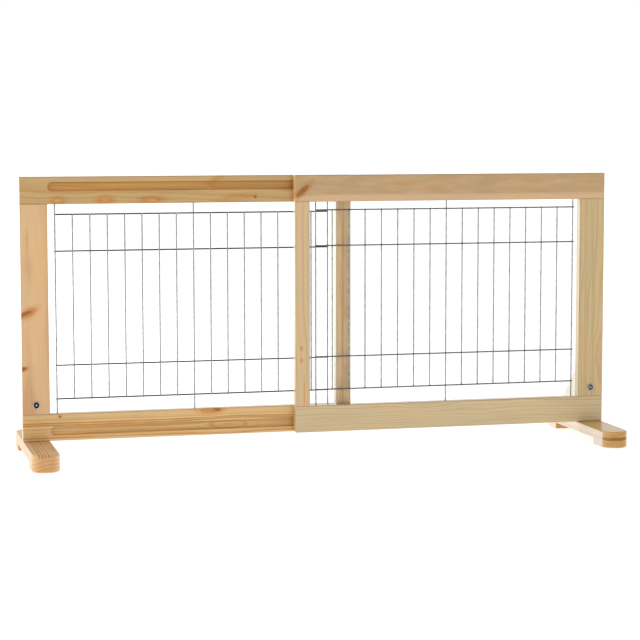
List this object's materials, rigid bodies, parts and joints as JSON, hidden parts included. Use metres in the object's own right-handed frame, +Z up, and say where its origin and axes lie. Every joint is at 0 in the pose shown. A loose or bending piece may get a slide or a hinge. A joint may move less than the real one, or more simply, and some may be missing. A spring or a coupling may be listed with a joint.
{
  "type": "pet gate",
  "caption": "Free-standing wooden pet gate: framed wire-mesh panels that slide past each other to set the width, standing on braced cross feet.",
  "frame": {"origin": "on the floor, midway along the fully open gate and midway between the two panels", "axes": "+X along the gate, to the right seen from the front; +Y from the front to the back; +Z up"},
  "size_m": [1.08, 0.31, 0.495],
  "materials": {
    "warm_pine": "clear satin lacquer",
    "pale_pine": "clear satin lacquer",
    "beech": "bare, smooth",
    "galvanised_wire": "zinc-coated, dull",
    "zinc_plate": "bright zinc plate"
  },
  "bodies": {
    "left_frame": {"left_top_rail": "warm_pine", "left_bottom_rail": "warm_pine", "left_outer_stile": "warm_pine", "left_inner_stile": "warm_pine", "left_foot": "warm_pine", "left_brace": "warm_pine", "left_frame_dowels": "beech", "left_mesh_uprights": "galvanised_wire", "left_mesh_cross_wires": "galvanised_wire", "left_foot_screws": "zinc_plate", "left_brace_bolt": "zinc_plate", "left_barrel_nut": "zinc_plate", "slide_stops": "beech"},
    "right_frame": {"right_top_rail": "pale_pine", "right_bottom_rail": "pale_pine", "right_outer_stile": "pale_pine", "right_inner_stile": "pale_pine", "right_foot": "pale_pine", "right_brace": "pale_pine", "right_frame_dowels": "beech", "right_mesh_uprights": "galvanised_wire", "right_mesh_cross_wires": "galvanised_wire", "right_foot_screws": "zinc_plate", "right_brace_bolt": "zinc_plate", "right_barrel_nut": "zinc_plate", "top_runner": "beech", "bottom_runner": "beech", "runner_screws": "zinc_plate"}
  },
  "joints": [
    {"name": "width_slide", "type": "slide", "parent": "left_frame", "child": "right_frame", "axis": [1, 0, 0], "range_m": [-0.43, 0]}
  ]
}
